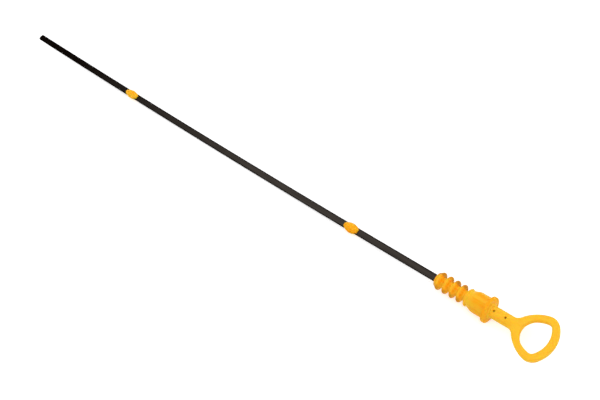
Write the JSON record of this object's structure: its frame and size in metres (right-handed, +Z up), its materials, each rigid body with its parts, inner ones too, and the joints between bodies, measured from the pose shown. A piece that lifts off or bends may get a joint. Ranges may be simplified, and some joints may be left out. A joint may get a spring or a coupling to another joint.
{
  "type": "engine oil dipstick",
  "caption": "Flat sprung steel strip with round guide beads, moulded into a plastic handle with a ribbed sealing plug, a seat flange and a triangular finger loop.",
  "frame": {"origin": "centre of the flange's seat, on the axis of the plug", "axes": "+X along the dipstick towards the finger loop, level with the surface it lies on; +Z up, out of the face of the finger loop; +Y across"},
  "size_m": [0.6018, 0.0366, 0.0209],
  "materials": {
    "blackened_strip": "blackened spring steel, satin",
    "yellow_moulding": "yellow-orange moulded plastic, satin"
  },
  "bodies": {
    "root": {"blade": "blackened_strip", "lower_guide_bead": "yellow_moulding", "upper_guide_bead": "yellow_moulding", "handle": "yellow_moulding"}
  },
  "joints": []
}
